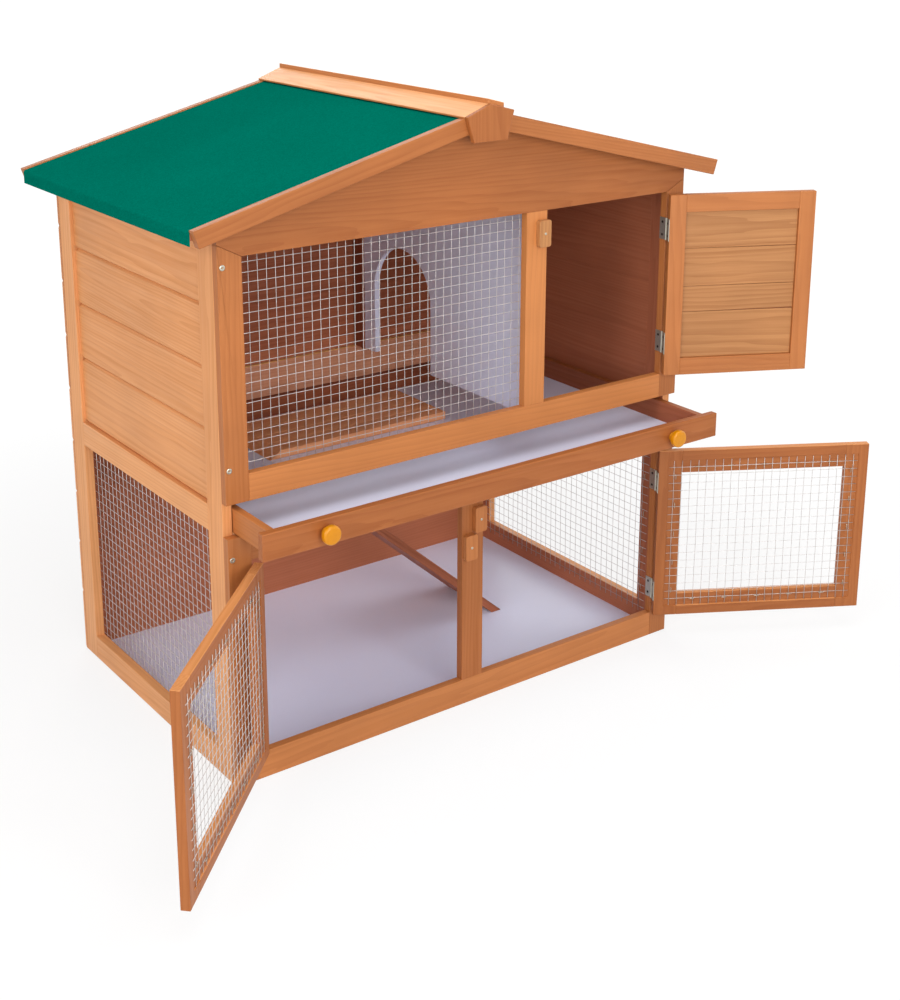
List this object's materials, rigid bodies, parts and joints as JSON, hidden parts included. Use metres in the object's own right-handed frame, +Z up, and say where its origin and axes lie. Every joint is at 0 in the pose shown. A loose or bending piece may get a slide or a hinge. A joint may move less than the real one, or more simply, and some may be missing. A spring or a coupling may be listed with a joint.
{
  "type": "rabbit hutch",
  "caption": "Wooden two-storey rabbit hutch with a felted gable roof, mesh and board doors, a pull-out tray floor, a ramp and a hatch lid.",
  "frame": {"origin": "on the ground at the middle of the cabinet's footprint, on the underside of the floor sheet", "axes": "+Z up, front towards -Y, +X to the right seen from the front"},
  "size_m": [1.4264, 0.8726, 1.0215],
  "materials": {
    "stained_fir": "stained, satin",
    "shaded_fir": "stained, satin",
    "white_board": "white laminate, satin",
    "green_felt": "mineral roofing felt, matte",
    "zinc_wire": "galvanised",
    "zinc_steel": "zinc plated",
    "yellow_paint": "gloss yellow"
  },
  "bodies": {
    "hutch": {"back_boards": "shaded_fir", "back_rail": "shaded_fir", "barge_front_left": "stained_fir", "barge_front_right": "stained_fir", "barge_rear_left": "stained_fir", "barge_rear_right": "stained_fir", "floor_sheet": "white_board", "front_gable": "stained_fir", "left_door_lower_hinge_fixed": "zinc_steel", "left_door_upper_hinge_fixed": "zinc_steel", "lower_bottom_rail": "stained_fir", "lower_left_stile": "stained_fir", "lower_middle_stile": "stained_fir", "lower_right_stile": "stained_fir", "lower_top_rail": "stained_fir", "partition": "white_board", "ridge_block": "stained_fir", "ridge_board_left": "stained_fir", "ridge_board_right": "stained_fir", "right_door_lower_hinge_fixed": "zinc_steel", "right_door_upper_hinge_fixed": "zinc_steel", "roof_deck": "shaded_fir", "roof_felt": "green_felt", "runner_left": "shaded_fir", "runner_right": "shaded_fir", "side_left_boards": "stained_fir", "side_left_frame": "stained_fir", "side_left_mesh": "zinc_wire", "side_right_boards": "stained_fir", "side_right_frame": "stained_fir", "side_right_mesh": "zinc_wire", "upper_bottom_rail": "stained_fir", "upper_door_lower_hinge_fixed": "zinc_steel", "upper_door_upper_hinge_fixed": "zinc_steel", "upper_left_stile": "stained_fir", "upper_middle_stile": "stained_fir", "upper_right_stile": "stained_fir", "window_mesh": "zinc_wire"},
    "upper_door": {"upper_door_boards": "stained_fir", "upper_door_frame": "stained_fir", "upper_door_lower_hinge_moving": "zinc_steel", "upper_door_upper_hinge_moving": "zinc_steel"},
    "left_door": {"left_door_frame": "stained_fir", "left_door_lower_hinge_moving": "zinc_steel", "left_door_mesh": "zinc_wire", "left_door_upper_hinge_moving": "zinc_steel"},
    "right_door": {"right_door_frame": "stained_fir", "right_door_lower_hinge_moving": "zinc_steel", "right_door_mesh": "zinc_wire", "right_door_upper_hinge_moving": "zinc_steel"},
    "upper_turn_button": {"upper_turn_button": "stained_fir"},
    "right_turn_button": {"right_turn_button": "stained_fir"},
    "left_turn_button": {"left_turn_button": "stained_fir"},
    "tray": {"tray_base": "white_board", "tray_front": "stained_fir", "tray_knob_left": "yellow_paint", "tray_knob_right": "yellow_paint", "tray_walls": "shaded_fir"},
    "hatch_lid": {"hatch_lid": "shaded_fir"},
    "ramp": {"ramp": "shaded_fir"}
  },
  "joints": [
    {"name": "upper_door_hinge", "type": "hinge", "parent": "hutch", "child": "upper_door", "pos_m": [0.4099, -0.2839, 0.666], "axis": [0, 0, 1], "range_deg": [-153.1, 20]},
    {"name": "left_door_hinge", "type": "hinge", "parent": "hutch", "child": "left_door", "pos_m": [-0.4099, -0.2839, 0.206], "axis": [0, 0, 1], "range_deg": [-40, 135.3]},
    {"name": "right_door_hinge", "type": "hinge", "parent": "hutch", "child": "right_door", "pos_m": [0.4099, -0.2839, 0.206], "axis": [0, 0, 1], "range_deg": [-150.1, 25]},
    {"name": "upper_button_turn", "type": "hinge", "parent": "hutch", "child": "upper_turn_button", "pos_m": [0.1359, -0.2868, 0.7925], "axis": [0, 1, 0], "range_deg": [0, 90]},
    {"name": "right_button_turn", "type": "hinge", "parent": "hutch", "child": "right_turn_button", "pos_m": [0.0111, -0.2868, 0.331], "axis": [0, 1, 0], "range_deg": [0, 90]},
    {"name": "left_button_turn", "type": "hinge", "parent": "hutch", "child": "left_turn_button", "pos_m": [-0.0081, -0.2868, 0.285], "axis": [0, 1, 0], "range_deg": [0, 90]},
    {"name": "tray_slide", "type": "slide", "parent": "hutch", "child": "tray", "axis": [0, 1, 0], "range_m": [-0.15, 0.104]},
    {"name": "hatch_lid_hinge", "type": "hinge", "parent": "tray", "child": "hatch_lid", "pos_m": [-0.064, 0.114, 0.4168], "axis": [-1, 0, 0], "range_deg": [0, 95]},
    {"name": "ramp_hinge", "type": "hinge", "parent": "tray", "child": "ramp", "pos_m": [-0.218, 0.024, 0.4], "axis": [0, -1, 0], "range_deg": [0, 38]}
  ]
}
